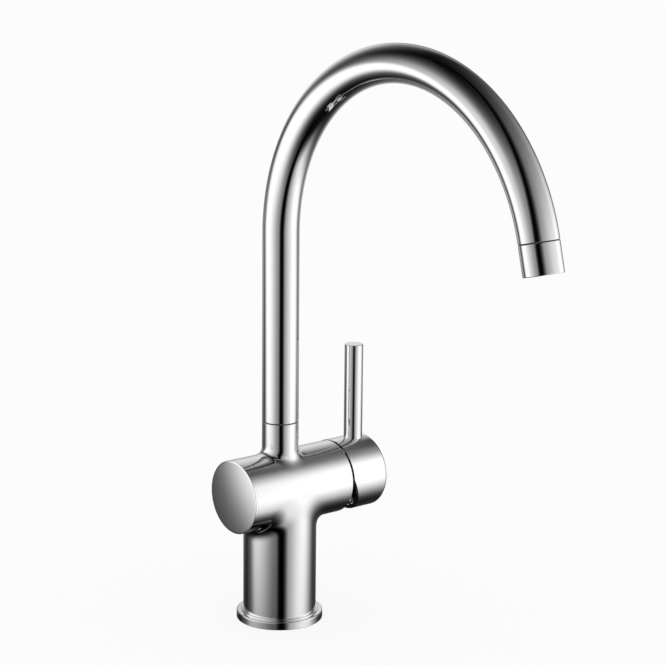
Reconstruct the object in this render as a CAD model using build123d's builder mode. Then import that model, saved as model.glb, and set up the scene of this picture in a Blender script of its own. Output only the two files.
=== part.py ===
from build123d import *
from math import cos, degrees, radians, sin, sqrt, tan
import os

# Swan-neck kitchen tap for hot, cold and filtered water, worked by one side lever.
# Frame: origin on the worktop, on the axis of the column. +Z is up, +X runs along the
# barrel towards the lever, and the spout reaches out along -Y, towards the user.

# ---------------------------------------------------------------------------------
# Driving dimensions, in millimetres and degrees
# ---------------------------------------------------------------------------------

# casting: column, barrel and neck
column_radius = 24.9
barrel_excess = 0.05
barrel_height = 92.2
barrel_left = -39.5
barrel_edge_round = 0.5
neck_rise = 21.8
neck_wall = 2.8
neck_floor_wall = 2.2
column_blend = 8.0
neck_blend = 4.5

# underside of the column: cored ring round a waterway core
column_wall = 3.5
core_roof = 17.25
foot_rebate_depth = 0.9
foot_rebate_height = 4.0

# base ring and its seal
base_ring_width = 4.6
base_ring_height = 5.4
base_ring_edge = 0.9
base_lip_width = 1.6
base_lip_height = 0.9
base_lip_edge = 0.7
base_seal_inset = 1.3
base_seal_rim = 1.1
base_seal_depth = 2.2

# ports in the underside
port_circle_radius = 11.2
port_angles = {"hot": 117.0, "filtered": 180.0, "cold": 243.0}
port_radius = 4.5
port_depth = 12.0
port_wall = 1.6
stud_hole_radius = 3.4
stud_hole_depth = 16.0
waterway_radius = 3.2
waterway_wall = 3.6
seat_hole_radius = 2.5
hot_cold_drop = 4.0
filtered_drop = 9.0
mixed_rise = 4.0
mixed_out_angle = 115.5

# end cap on the blind end of the barrel
end_cap_thickness = 2.2
end_cap_crown = 1.2
end_cap_round = 0.5
end_cap_shoulder = 5.05
end_cap_spigot_length = 7.0
end_cap_spigot_wall = 4.4
end_ring_section = 1.5

# valve cartridge, stacked outwards from its seat
seat_x = 6.0
cartridge_radius = 17.5
cartridge_wall = 2.0
port_plate_thickness = 3.0
port_seal_radius = 3.5
port_seal_thickness = 1.2
fixed_disc_thickness = 3.5
moving_disc_thickness = 4.0
disc_side_gap = 0.47
disc_pocket_radius = 5.5
disc_pocket_depth = 2.0
carrier_thickness = 5.5
turret_base_thickness = 5.9
turret_neck_radius = 11.95
turret_neck_reach = 6.0
cartridge_lid_thickness = 6.0
turret_ring_section = 1.4
stem_slot_reach = 8.6
water_film = 0.03

# stem and its pivot pin
stem_size = 7.0
stem_arm = 13.0
stem_ball_radius = 3.2
stem_ball_depth = 3.47
stem_neck_radius = 2.6
pivot_pin_radius = 2.0
tilt_limit = 21.0

# nut and dome that close the barrel
nut_shoulder = 2.9
nut_length = 6.0
nut_bore_gap = 0.65
nut_slot_width = 4.0
nut_slot_depth = 2.0
dome_skirt_length = 4.11
dome_rim_step = 0.37
dome_wall = 1.5
dome_opening_margin = 17.0

# lever cap
cap_excess = 0.3
cap_wall = 2.6
cap_gap = 1.1
cap_length = 29.6
cap_end_thickness = 3.0
cap_end_round = 2.2
cap_cut_margin = 1.0
cap_cut_rise = 2.7
hub_wall = 4.45
hub_length = 14.5
hub_floor = 2.0
hub_end_gap = 0.5

# lever pin and the screw that holds the cap on its stem
lever_pin_inset = 10.8
lever_pin_radius = 6.45
lever_pin_length = 68.55
lever_pin_edge = 0.5
lever_pin_seat_depth = 2.7
pin_boss_wall = 1.7
pin_boss_depth = 8.0
pin_stud_radius = 3.0
pin_stud_length = 8.0
stud_boss_wall = 2.45
cap_screw_radius = 2.5
cap_screw_length = 8.0
cap_screw_socket = 1.25
screw_boss_wall = 1.95
plug_thickness = 1.6

# spout
tube_radius = 12.4
tube_wall = 1.2
riser_length = 127.9
swan_radius = 122.0
swan_angle = 165.8
glide_ring_thickness = 0.65
glide_ring_inset = 0.5

# spout foot, which turns in the neck
foot_wall = 3.55
foot_floor_gap = 2.0
foot_collar_length = 9.5
foot_ring_rise = 3.5
foot_ring_pitch = 6.0
foot_ring_section = 1.45
stop_screw_drop = 8.2
stop_screw_radius = 2.0
stop_groove_depth = 1.9
stop_groove_margin = 16.0
spout_swing = 110.0

# filtered water line inside the spout
filter_tube_radius = 4.0
filter_tube_bore = 3.0
filter_tube_floor_gap = 3.5
spigot_gap = 0.12
spigot_wall = 1.08
spigot_seat_radius = 4.0
spigot_seat_depth = 1.5
spigot_collar_height = 2.5
spigot_height = 13.0
spigot_ring_rise = 8.0
spigot_ring_section = 0.8

# outlet
outlet_seam = 0.6
housing_length = 18.75
housing_wall = 1.6
housing_rim_round = 0.5
outlet_gasket_inset = 0.4
housing_thread_gap = 0.65
housing_thread_length = 6.0
housing_thread_wall = 1.4
ferrule_length = 8.5
ferrule_wall = 0.5
aerator_floor = 6.0
aerator_washer_thickness = 1.0
aerator_recess = 0.8
aerator_cell_size = 1.9
aerator_cell_wall = 0.5
aerator_cell_depth = 4.0
aerator_hub_wall = 0.9
mesh_thickness = 0.4
mesh_offset = 5.0
mesh_hole_pitch = 2.0
mesh_hole_size = 1.4
nozzle_radius = 3.6
nozzle_bore = 2.2
nozzle_barb_gap = 0.25
nozzle_barb_length = 5.0
nozzle_recess = 0.4

# clearances
running = 0.05
slack = 0.1

# ---------------------------------------------------------------------------------
# Values worked out from them
# ---------------------------------------------------------------------------------

# along the barrel: cartridge stack, then the barrel's end, then the lever
port_plate_x = seat_x
fixed_disc_x = port_plate_x + port_plate_thickness
moving_disc_x = fixed_disc_x + fixed_disc_thickness + water_film
carrier_x = moving_disc_x + moving_disc_thickness
turret_x = carrier_x + carrier_thickness + water_film
turret_neck_x = turret_x + turret_base_thickness
lid_x = turret_neck_x + water_film
cartridge_top_x = lid_x + cartridge_lid_thickness
turret_end_x = cartridge_top_x + turret_neck_reach
nut_end_x = cartridge_top_x + nut_length
dome_skirt_x = nut_end_x + slack
barrel_right = dome_skirt_x + dome_skirt_length + slack
stem_pivot_x = carrier_x + stem_ball_depth + stem_arm

cap_start_x = barrel_right + cap_gap
cap_end_x = cap_start_x + cap_length
cap_floor_x = cap_end_x - cap_end_thickness
hub_start_x = cap_floor_x - hub_length
hub_socket_x = cap_floor_x - hub_floor
stem_end_x = hub_socket_x - hub_end_gap
lever_pin_x = cap_end_x - lever_pin_inset

# round the column and the barrel
barrel_radius = column_radius + barrel_excess
cast_left = barrel_left + end_cap_thickness
cast_length = barrel_right - cast_left
cored_radius = column_radius - column_wall
core_radius = port_circle_radius + port_radius + port_wall
core_recess_height = barrel_height - barrel_radius - core_roof
foot_rebate_radius = column_radius - foot_rebate_depth
base_ring_radius = column_radius + base_ring_width
base_lip_radius = column_radius + base_lip_width
base_seal_inner = column_radius + base_seal_inset
base_seal_outer = base_ring_radius - base_seal_rim
end_cap_crown_radius = (barrel_radius ** 2 + end_cap_crown ** 2) / (2 * end_cap_crown)
end_cap_spigot_radius = barrel_radius - end_cap_shoulder
end_cap_recess_radius = end_cap_spigot_radius - end_cap_spigot_wall
end_chamber_x = -port_circle_radius - waterway_radius - waterway_wall

# cartridge, nut and dome
cartridge_bore_radius = cartridge_radius + slack
cartridge_inner = cartridge_radius - cartridge_wall
fixed_disc_radius = cartridge_inner - slack
turret_radius = cartridge_inner - 2 * slack
disc_stroke = stem_arm * sin(radians(tilt_limit))
disc_offset = disc_stroke / 2
moving_disc_radius = cartridge_inner - disc_offset - disc_side_gap
stem_slot = stem_size + 2 * slack
socket_radius = stem_ball_radius + slack
nut_radius = cartridge_radius + nut_shoulder
nut_bore_radius = turret_neck_radius + nut_bore_gap
dome_base = barrel_right - stem_pivot_x
dome_radius = sqrt((nut_radius - dome_rim_step) ** 2 + dome_base ** 2)
dome_inner = dome_radius - dome_wall
dome_opening = tilt_limit + dome_opening_margin

# lever
cap_radius = barrel_radius + cap_excess
cap_inner = cap_radius - cap_wall
cap_cut_angle = tilt_limit + cap_cut_margin
hub_socket_size = stem_size + 2 * running
hub_radius = hub_socket_size / 2 + hub_wall
pin_seat_z = barrel_height + cap_radius - lever_pin_seat_depth
lever_pin_top = pin_seat_z + lever_pin_length
pin_boss_radius = lever_pin_radius + running + pin_boss_wall
stud_boss_radius = pin_stud_radius + running + stud_boss_wall
screw_boss_radius = cap_screw_radius + running + screw_boss_wall

# neck and spout foot
neck_radius = tube_radius
neck_top = barrel_height + barrel_radius + neck_rise
neck_bore_radius = neck_radius - neck_wall
neck_bore_floor_z = barrel_height + cartridge_bore_radius + neck_floor_wall
tube_bore = tube_radius - tube_wall
tube_bottom_z = neck_top + glide_ring_thickness
foot_radius = neck_bore_radius - running
foot_bore_radius = foot_radius - foot_wall
foot_bottom_z = neck_bore_floor_z + foot_floor_gap
foot_top_z = tube_bottom_z + foot_collar_length
foot_ring_heights = [foot_bottom_z + foot_ring_rise + n * foot_ring_pitch for n in range(2)]
stop_screw_z = neck_top - stop_screw_drop
stop_groove_floor = foot_radius - stop_groove_depth

# filtered water line
filter_tube_bottom_z = neck_bore_floor_z + filter_tube_floor_gap
spigot_radius = filter_tube_bore - spigot_gap
spigot_bore = spigot_radius - spigot_wall
spigot_base_z = neck_bore_floor_z - spigot_seat_depth
spigot_top_z = neck_bore_floor_z + spigot_height
spigot_ring_z = neck_bore_floor_z + spigot_ring_rise
nozzle_barb_radius = filter_tube_bore - nozzle_barb_gap

# swan neck and outlet
swan_start_z = tube_bottom_z + riser_length
swan_centre = Vector(0, -swan_radius, swan_start_z)
swan_turn = radians(swan_angle)
swan_end = swan_centre + Vector(0, cos(swan_turn), sin(swan_turn)) * swan_radius
outlet_direction = Vector(0, -sin(swan_turn), cos(swan_turn))
swan_axis = Axis(swan_centre, (1, 0, 0))
ferrule_outer = tube_bore - running
ferrule_inner = ferrule_outer - ferrule_wall
housing_thread_radius = ferrule_inner - housing_thread_gap
housing_thread_bore = housing_thread_radius - housing_thread_wall
housing_end = outlet_seam + housing_length
aerator_radius = tube_radius - housing_wall - slack
aerator_hub_radius = nozzle_radius + slack + aerator_hub_wall
washer_start = outlet_seam + aerator_floor
aerator_start = washer_start + aerator_washer_thickness
aerator_end = housing_end - aerator_recess
mesh_start = aerator_end - mesh_offset


def barrel_plane(x):
    """Plane across the barrel: local x is +Y, local y is +Z, and it faces +X."""
    return Plane(origin=(x, 0, barrel_height), x_dir=(0, 1, 0), z_dir=(1, 0, 0))


def level(z):
    """Horizontal plane at a height above the worktop."""
    return Plane.XY.offset(z)


def outlet_plane(distance):
    """Plane across the outlet, at a distance past the end of the spout tube."""
    origin = swan_end + outlet_direction * distance
    return Plane(origin=origin, x_dir=(1, 0, 0), z_dir=outlet_direction)


def port_place(name):
    """Centre of one water port in the underside."""
    angle = radians(port_angles[name])
    return (port_circle_radius * cos(angle), port_circle_radius * sin(angle))


hot_x, hot_y = port_place("hot")
cold_x, cold_y = port_place("cold")
filtered_x, filtered_y = port_place("filtered")

# The mixed water rises midway between the spigot's seat and the wall of the neck's bore.
mixed_out_distance = (neck_bore_radius + spigot_seat_radius) / 2
mixed_out_x = mixed_out_distance * cos(radians(mixed_out_angle))
mixed_out_y = mixed_out_distance * sin(radians(mixed_out_angle))

# Places of the five ways in the cartridge seat, as (y, z from the barrel axis), with the
# x at which each meets its upright way.
seat_ways = {
    "hot": (hot_y, -hot_cold_drop, hot_x),
    "cold": (cold_y, -hot_cold_drop, cold_x),
    "filtered": (filtered_y, -filtered_drop, filtered_x),
    "mixed_out": (mixed_out_y, mixed_rise, mixed_out_x),
    "filtered_out": (0, filtered_drop, 0),
}
seat_places = [(y, rise) for y, rise, _ in seat_ways.values()]


def torus_radius(outer, section):
    """Centre radius of a round-section ring whose outside is at the given radius."""
    return outer - section / 2


# ---------------------------------------------------------------------------------
# Casting: barrel, column and neck in one piece, with its bores and waterways
# ---------------------------------------------------------------------------------

with BuildPart() as valve_body:
    with BuildSketch(barrel_plane(cast_left)):
        Circle(barrel_radius)
    extrude(amount=cast_length)
    with BuildSketch(level(0)):
        Circle(column_radius)
    extrude(amount=barrel_height)
    column_seam = valve_body.edges().filter_by(
        lambda e: e.geom_type not in (GeomType.CIRCLE, GeomType.LINE) and e.center().Z < barrel_height
    )
    fillet(column_seam, column_blend)
    with BuildSketch(level(barrel_height)):
        Circle(neck_radius)
    extrude(amount=neck_top - barrel_height)
    neck_seam = valve_body.edges().filter_by(
        lambda e: e.geom_type not in (GeomType.CIRCLE, GeomType.LINE)
        and e.center().Z > barrel_height + barrel_radius / 2
    )
    fillet(neck_seam, neck_blend)
    open_end = valve_body.edges().filter_by(GeomType.CIRCLE).filter_by(
        lambda e: abs(e.center().X - barrel_right) < running
    )
    fillet(open_end, barrel_edge_round)

    # rebate that holds the base ring down, and the cored ring round the waterways
    with BuildSketch(level(0)):
        Circle(column_radius + slack)
        Circle(foot_rebate_radius, mode=Mode.SUBTRACT)
    extrude(amount=foot_rebate_height, mode=Mode.SUBTRACT)
    with BuildSketch(level(0)):
        Circle(cored_radius)
        Circle(core_radius, mode=Mode.SUBTRACT)
    extrude(amount=core_recess_height, mode=Mode.SUBTRACT)

    # chamber behind the end cap
    with BuildSketch(barrel_plane(cast_left)):
        Circle(end_cap_spigot_radius + slack)
    extrude(amount=end_chamber_x - cast_left, mode=Mode.SUBTRACT)

    # bores for the cartridge, and for the nut and dome
    with BuildSketch(barrel_plane(seat_x)):
        Circle(cartridge_bore_radius)
    extrude(amount=barrel_right - seat_x, mode=Mode.SUBTRACT)
    with BuildSketch(barrel_plane(cartridge_top_x)):
        Circle(nut_radius + slack)
    extrude(amount=barrel_right - cartridge_top_x, mode=Mode.SUBTRACT)

    # stud hole, and the threaded mouths of the three water ports
    with BuildSketch(level(0)):
        Circle(stud_hole_radius)
    extrude(amount=stud_hole_depth, mode=Mode.SUBTRACT)
    for name in port_angles:
        with BuildSketch(level(0)):
            with Locations(port_place(name)):
                Circle(port_radius)
        extrude(amount=port_depth, mode=Mode.SUBTRACT)

    # upright ways from the ports, and level ways from each of them to the seat
    for name in port_angles:
        rise = seat_ways[name][1]
        with BuildSketch(level(0)):
            with Locations(port_place(name)):
                Circle(waterway_radius)
        extrude(amount=barrel_height + rise, mode=Mode.SUBTRACT)
    for way_y, rise, meeting_x in seat_ways.values():
        with BuildSketch(barrel_plane(seat_x)):
            with Locations((way_y, rise)):
                Circle(seat_hole_radius)
        extrude(amount=meeting_x - seat_x, mode=Mode.SUBTRACT)

    # neck bore, and the two ways that feed it
    with BuildSketch(level(neck_bore_floor_z)):
        Circle(neck_bore_radius)
    extrude(amount=neck_top - neck_bore_floor_z, mode=Mode.SUBTRACT)
    with BuildSketch(level(barrel_height + mixed_rise)):
        with Locations((mixed_out_x, mixed_out_y)):
            Circle(seat_hole_radius)
    extrude(amount=neck_bore_floor_z - barrel_height - mixed_rise, mode=Mode.SUBTRACT)
    with BuildSketch(level(barrel_height + filtered_drop)):
        Circle(seat_hole_radius)
    extrude(amount=neck_bore_floor_z - barrel_height - filtered_drop, mode=Mode.SUBTRACT)
    with BuildSketch(level(spigot_base_z)):
        Circle(spigot_seat_radius + running)
    extrude(amount=spigot_seat_depth, mode=Mode.SUBTRACT)

    # threaded hole for the spout's stop screw, in the back of the neck
    with BuildSketch(Plane(origin=(0, 0, stop_screw_z), x_dir=(-1, 0, 0), z_dir=(0, 1, 0))):
        Circle(stop_screw_radius + running)
    extrude(amount=neck_radius + slack, mode=Mode.SUBTRACT)

# ---------------------------------------------------------------------------------
# Base: ring under the column's rebate, and the seal in its underside
# ---------------------------------------------------------------------------------

with BuildPart() as base_ring:
    with BuildSketch(level(0)):
        Circle(base_ring_radius)
    extrude(amount=base_ring_height)
    fillet(base_ring.edges().filter_by(GeomType.CIRCLE).sort_by(Axis.Z)[-1], base_ring_edge)
    with BuildSketch(level(base_ring_height)):
        Circle(base_lip_radius)
    extrude(amount=base_lip_height)
    fillet(base_ring.edges().filter_by(GeomType.CIRCLE).sort_by(Axis.Z)[-1], base_lip_edge)
    with BuildSketch(level(0)):
        Circle(foot_rebate_radius + slack)
    extrude(amount=base_ring_height + base_lip_height, mode=Mode.SUBTRACT)
    with BuildSketch(level(foot_rebate_height)):
        Circle(column_radius + slack)
    extrude(amount=base_ring_height + base_lip_height - foot_rebate_height, mode=Mode.SUBTRACT)
    with BuildSketch(level(0)):
        Circle(base_seal_outer + running)
        Circle(base_seal_inner - running, mode=Mode.SUBTRACT)
    extrude(amount=base_seal_depth, mode=Mode.SUBTRACT)

with BuildPart() as base_seal:
    with BuildSketch(level(0)):
        Circle(base_seal_outer)
        Circle(base_seal_inner, mode=Mode.SUBTRACT)
    extrude(amount=base_seal_depth)

# ---------------------------------------------------------------------------------
# End cap on the blind end of the barrel
# ---------------------------------------------------------------------------------

end_ring_x = cast_left + end_cap_spigot_length / 2

crown_top = (barrel_left - end_cap_crown, barrel_height)
crown_rim = (barrel_left, barrel_height + barrel_radius)

with BuildPart() as end_cap:
    with BuildSketch(Plane.XZ) as cap_section:
        with BuildLine():
            RadiusArc(crown_top, crown_rim, end_cap_crown_radius)
            Polyline(crown_rim, (cast_left, crown_rim[1]), (cast_left, barrel_height), crown_top)
        make_face()
        fillet(cap_section.vertices().sort_by_distance(crown_rim)[0], end_cap_round)
    revolve(axis=Axis((0, 0, barrel_height), (1, 0, 0)))
    chamfer(end_cap.edges().filter_by(GeomType.CIRCLE).sort_by(Axis.X)[-1], slack)
    with BuildSketch(barrel_plane(cast_left)):
        Circle(end_cap_spigot_radius)
    extrude(amount=end_cap_spigot_length)
    with BuildSketch(barrel_plane(cast_left)):
        Circle(end_cap_recess_radius)
    extrude(amount=end_cap_spigot_length, mode=Mode.SUBTRACT)
    with BuildSketch(barrel_plane(end_ring_x - end_ring_section / 2)):
        Circle(end_cap_spigot_radius + slack)
        Circle(end_cap_spigot_radius - end_ring_section, mode=Mode.SUBTRACT)
    extrude(amount=end_ring_section, mode=Mode.SUBTRACT)

with BuildPart(barrel_plane(end_ring_x)) as end_cap_o_ring:
    Torus(torus_radius(end_cap_spigot_radius, end_ring_section), end_ring_section / 2 - running)

# ---------------------------------------------------------------------------------
# Cartridge: port plate and seals, ceramic discs, carrier, turret and housing
# ---------------------------------------------------------------------------------

with BuildPart() as port_plate:
    with BuildSketch(barrel_plane(port_plate_x)):
        Circle(cartridge_radius)
        with Locations(*seat_places):
            Circle(seat_hole_radius, mode=Mode.SUBTRACT)
    extrude(amount=port_plate_thickness)
    with BuildSketch(barrel_plane(port_plate_x)):
        with Locations(*seat_places):
            Circle(port_seal_radius)
    extrude(amount=port_seal_thickness, mode=Mode.SUBTRACT)

with BuildPart() as port_seals:
    with BuildSketch(barrel_plane(port_plate_x)):
        with Locations(*seat_places):
            Circle(port_seal_radius - running)
            Circle(seat_hole_radius, mode=Mode.SUBTRACT)
    extrude(amount=port_seal_thickness)

with BuildPart() as fixed_ceramic_disc:
    with BuildSketch(barrel_plane(fixed_disc_x)):
        Circle(fixed_disc_radius)
        with Locations(*seat_places):
            Circle(seat_hole_radius, mode=Mode.SUBTRACT)
    extrude(amount=fixed_disc_thickness)

with BuildPart() as moving_ceramic_disc:
    with BuildSketch(barrel_plane(moving_disc_x)):
        with Locations((0, -disc_offset)):
            Circle(moving_disc_radius)
    extrude(amount=moving_disc_thickness)
    with BuildSketch(barrel_plane(moving_disc_x)):
        with Locations((0, -disc_offset)):
            Circle(disc_pocket_radius)
    extrude(amount=disc_pocket_depth, mode=Mode.SUBTRACT)

with BuildPart() as disc_carrier:
    with BuildSketch(barrel_plane(carrier_x)):
        with Locations((0, -disc_offset)):
            Circle(moving_disc_radius)
        Circle(socket_radius, mode=Mode.SUBTRACT)
    extrude(amount=carrier_thickness)

turret_ring_x = lid_x + cartridge_lid_thickness / 2

with BuildPart() as cartridge_turret:
    with BuildSketch(barrel_plane(turret_x)):
        Circle(turret_radius)
    extrude(amount=turret_base_thickness)
    with BuildSketch(barrel_plane(turret_neck_x)):
        Circle(turret_neck_radius)
    extrude(amount=turret_end_x - turret_neck_x)
    with BuildSketch(barrel_plane(turret_x)):
        Rectangle(stem_slot, 2 * stem_slot_reach)
    extrude(amount=turret_end_x - turret_x, mode=Mode.SUBTRACT)
    with BuildSketch(barrel_plane(turret_ring_x - turret_ring_section / 2)):
        Circle(turret_neck_radius + slack)
        Circle(turret_neck_radius - turret_ring_section, mode=Mode.SUBTRACT)
    extrude(amount=turret_ring_section, mode=Mode.SUBTRACT)
    with BuildSketch(Plane.XZ):
        with Locations((stem_pivot_x, barrel_height)):
            Circle(pivot_pin_radius)
    extrude(amount=turret_radius, both=True, mode=Mode.SUBTRACT)

with BuildPart(barrel_plane(turret_ring_x)) as turret_o_ring:
    Torus(torus_radius(turret_neck_radius, turret_ring_section), turret_ring_section / 2 - running)

with BuildPart() as cartridge_housing:
    with BuildSketch(barrel_plane(fixed_disc_x)):
        Circle(cartridge_radius)
    extrude(amount=cartridge_top_x - fixed_disc_x)
    with BuildSketch(barrel_plane(fixed_disc_x)):
        Circle(cartridge_inner)
    extrude(amount=lid_x - fixed_disc_x, mode=Mode.SUBTRACT)
    with BuildSketch(barrel_plane(lid_x)):
        Circle(turret_neck_radius + running)
    extrude(amount=cartridge_lid_thickness, mode=Mode.SUBTRACT)

# ---------------------------------------------------------------------------------
# Stem: ball in the carrier's socket, pivot in the turret, square end in the lever cap
# ---------------------------------------------------------------------------------

pin_reach = sqrt(turret_neck_radius ** 2 - pivot_pin_radius ** 2) - turret_ring_section

with BuildPart() as stem_pivot_pin:
    with BuildSketch(Plane.XZ):
        with Locations((stem_pivot_x, barrel_height)):
            Circle(pivot_pin_radius - running)
    extrude(amount=pin_reach, both=True)

with BuildPart() as stem:
    with BuildSketch(barrel_plane(stem_pivot_x - stem_size / 2)):
        Rectangle(stem_size, stem_size)
    extrude(amount=stem_end_x - stem_pivot_x + stem_size / 2)
    with BuildSketch(barrel_plane(stem_pivot_x - stem_arm)):
        Circle(stem_neck_radius)
    extrude(amount=stem_arm - stem_size / 2)
    with Locations((stem_pivot_x - stem_arm, 0, barrel_height)):
        Sphere(stem_ball_radius)
    with BuildSketch(Plane.XZ):
        with Locations((stem_pivot_x, barrel_height)):
            Circle(pivot_pin_radius)
    extrude(amount=stem_size, both=True, mode=Mode.SUBTRACT)

# ---------------------------------------------------------------------------------
# Nut that clamps the cartridge, and the dome that shows when the lever tilts
# ---------------------------------------------------------------------------------

with BuildPart() as cartridge_nut:
    with BuildSketch(barrel_plane(cartridge_top_x)):
        Circle(nut_radius)
        Circle(nut_bore_radius, mode=Mode.SUBTRACT)
    extrude(amount=nut_length)
    with BuildSketch(barrel_plane(nut_end_x - nut_slot_depth)):
        Rectangle(2 * nut_radius, nut_slot_width)
        Rectangle(nut_slot_width, 2 * nut_radius)
    extrude(amount=nut_slot_depth, mode=Mode.SUBTRACT)

def dome_point(radius, angle):
    """Point of the dome's section at an angle from the barrel axis."""
    return (
        stem_pivot_x + radius * cos(radians(angle)),
        barrel_height + radius * sin(radians(angle)),
    )


def dome_rim(radius):
    """Point of the dome's section in the plane of the barrel's end."""
    return (barrel_right, barrel_height + sqrt(radius ** 2 - dome_base ** 2))


with BuildPart() as cartridge_dome:
    with BuildSketch(Plane.XZ):
        with BuildLine():
            outside = RadiusArc(dome_rim(dome_radius), dome_point(dome_radius, dome_opening), dome_radius)
            Line(outside @ 1, dome_point(dome_inner, dome_opening))
            inside = RadiusArc(
                dome_point(dome_inner, dome_opening), dome_rim(dome_inner), -dome_inner
            )
            Polyline(
                inside @ 1,
                (dome_skirt_x, (inside @ 1).Y),
                (dome_skirt_x, barrel_height + nut_radius),
                (barrel_right - slack, barrel_height + nut_radius),
                (barrel_right - slack, (outside @ 0).Y),
                outside @ 0,
            )
        make_face()
    revolve(axis=Axis((0, 0, barrel_height), (1, 0, 0)))

# ---------------------------------------------------------------------------------
# Lever: cap with its oblique lower rim, pin handle, screw and plug
# ---------------------------------------------------------------------------------

cut_top_z = barrel_height + cap_cut_rise
cut_depth = cap_radius + cap_cut_rise + cap_wall
cut_run = cut_depth * tan(radians(cap_cut_angle))

with BuildPart() as lever_cap:
    with BuildSketch(barrel_plane(cap_start_x)):
        Circle(cap_radius)
    extrude(amount=cap_end_x - cap_start_x)
    fillet(lever_cap.edges().filter_by(GeomType.CIRCLE).sort_by(Axis.X)[-1], cap_end_round)
    with BuildSketch(barrel_plane(cap_start_x)):
        Circle(cap_inner)
    extrude(amount=cap_floor_x - cap_start_x, mode=Mode.SUBTRACT)
    with BuildSketch(barrel_plane(hub_start_x)):
        Circle(hub_radius)
    extrude(amount=cap_floor_x - hub_start_x)
    with BuildSketch(level(pin_seat_z - pin_boss_depth)):
        with Locations((lever_pin_x, 0)):
            Circle(pin_boss_radius)
    extrude(amount=barrel_height + cap_inner - pin_seat_z + pin_boss_depth)
    with BuildSketch(level(barrel_height)):
        with Locations((lever_pin_x, 0)):
            Circle(stud_boss_radius)
    extrude(amount=pin_seat_z - barrel_height)
    with BuildSketch(level(barrel_height - cap_inner)):
        with Locations((lever_pin_x, 0)):
            Circle(screw_boss_radius)
    extrude(amount=cap_inner)
    with BuildSketch(Plane.XZ):
        with BuildLine():
            Polyline(
                (cap_start_x, cut_top_z),
                (cap_start_x + cut_run, cut_top_z - cut_depth),
                (cap_start_x - cap_wall, cut_top_z - cut_depth),
                (cap_start_x - cap_wall, cut_top_z),
                close=True,
            )
        make_face()
    extrude(amount=cap_radius + cap_wall, both=True, mode=Mode.SUBTRACT)
    with BuildSketch(barrel_plane(hub_start_x)):
        Rectangle(hub_socket_size, hub_socket_size)
    extrude(amount=hub_socket_x - hub_start_x, mode=Mode.SUBTRACT)
    with BuildSketch(level(pin_seat_z)):
        with Locations((lever_pin_x, 0)):
            Circle(lever_pin_radius + running)
    extrude(amount=lever_pin_seat_depth + slack, mode=Mode.SUBTRACT)
    with BuildSketch(level(pin_seat_z - pin_stud_length)):
        with Locations((lever_pin_x, 0)):
            Circle(pin_stud_radius + running)
    extrude(amount=pin_stud_length, mode=Mode.SUBTRACT)
    with BuildSketch(level(barrel_height - cap_radius)):
        with Locations((lever_pin_x, 0)):
            Circle(cap_screw_radius + running)
    extrude(amount=cap_radius, mode=Mode.SUBTRACT)

with BuildPart() as lever_pin:
    with BuildSketch(level(pin_seat_z)):
        with Locations((lever_pin_x, 0)):
            Circle(lever_pin_radius)
    extrude(amount=lever_pin_top - pin_seat_z)
    fillet(lever_pin.edges().filter_by(GeomType.CIRCLE).sort_by(Axis.Z)[-1], lever_pin_edge)
    with BuildSketch(level(pin_seat_z - pin_stud_length + slack)):
        with Locations((lever_pin_x, 0)):
            Circle(pin_stud_radius)
    extrude(amount=pin_stud_length - slack)

screw_tip_z = barrel_height - stem_size / 2 - running

with BuildPart() as lever_grub_screw:
    with BuildSketch(level(screw_tip_z - cap_screw_length)):
        with Locations((lever_pin_x, 0)):
            Circle(cap_screw_radius)
    extrude(amount=cap_screw_length)
    with BuildSketch(level(screw_tip_z - cap_screw_length)):
        with Locations((lever_pin_x, 0)):
            RegularPolygon(cap_screw_socket, 6)
    extrude(amount=cap_screw_radius, mode=Mode.SUBTRACT)

with BuildPart() as lever_screw_plug:
    with BuildSketch(level(barrel_height - cap_radius + 2 * slack)):
        with Locations((lever_pin_x, 0)):
            Circle(cap_screw_radius)
    extrude(amount=plug_thickness)

# ---------------------------------------------------------------------------------
# Spout: swan-neck tube on a foot that turns in the neck
# ---------------------------------------------------------------------------------

with BuildPart() as spout_tube:
    with BuildLine() as swan_line:
        rise_line = Line((0, 0, tube_bottom_z), (0, 0, swan_start_z))
        TangentArc(rise_line @ 1, swan_end, tangent=rise_line % 1)
    with BuildSketch(level(tube_bottom_z)):
        Circle(tube_radius)
        Circle(tube_bore, mode=Mode.SUBTRACT)
    sweep(path=swan_line.line)

with BuildPart() as spout_foot:
    with BuildSketch(level(foot_bottom_z)):
        Circle(foot_radius)
    extrude(amount=tube_bottom_z - foot_bottom_z)
    with BuildSketch(level(tube_bottom_z)):
        Circle(tube_bore - running)
    extrude(amount=foot_collar_length)
    with BuildSketch(level(foot_bottom_z)):
        Circle(foot_bore_radius)
    extrude(amount=foot_top_z - foot_bottom_z, mode=Mode.SUBTRACT)
    for ring_z in foot_ring_heights:
        with BuildSketch(level(ring_z - foot_ring_section / 2)):
            Circle(foot_radius + slack)
            Circle(foot_radius - foot_ring_section, mode=Mode.SUBTRACT)
        extrude(amount=foot_ring_section, mode=Mode.SUBTRACT)
    # groove for the stop screw, over the sector that the spout may swing
    with BuildSketch(level(stop_screw_z - stop_screw_radius - slack)):
        with BuildLine():
            stop_half = spout_swing + stop_groove_margin
            outer_arc = CenterArc((0, 0), foot_radius + slack, 90 - stop_half, 2 * stop_half)
            inner_arc = CenterArc((0, 0), stop_groove_floor, 90 - stop_half, 2 * stop_half)
            Line(outer_arc @ 0, inner_arc @ 0)
            Line(outer_arc @ 1, inner_arc @ 1)
        make_face()
    extrude(amount=2 * (stop_screw_radius + slack), mode=Mode.SUBTRACT)

with BuildPart() as spout_o_rings:
    for ring_z in foot_ring_heights:
        with Locations((0, 0, ring_z)):
            Torus(torus_radius(foot_radius, foot_ring_section), foot_ring_section / 2 - running)

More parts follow.
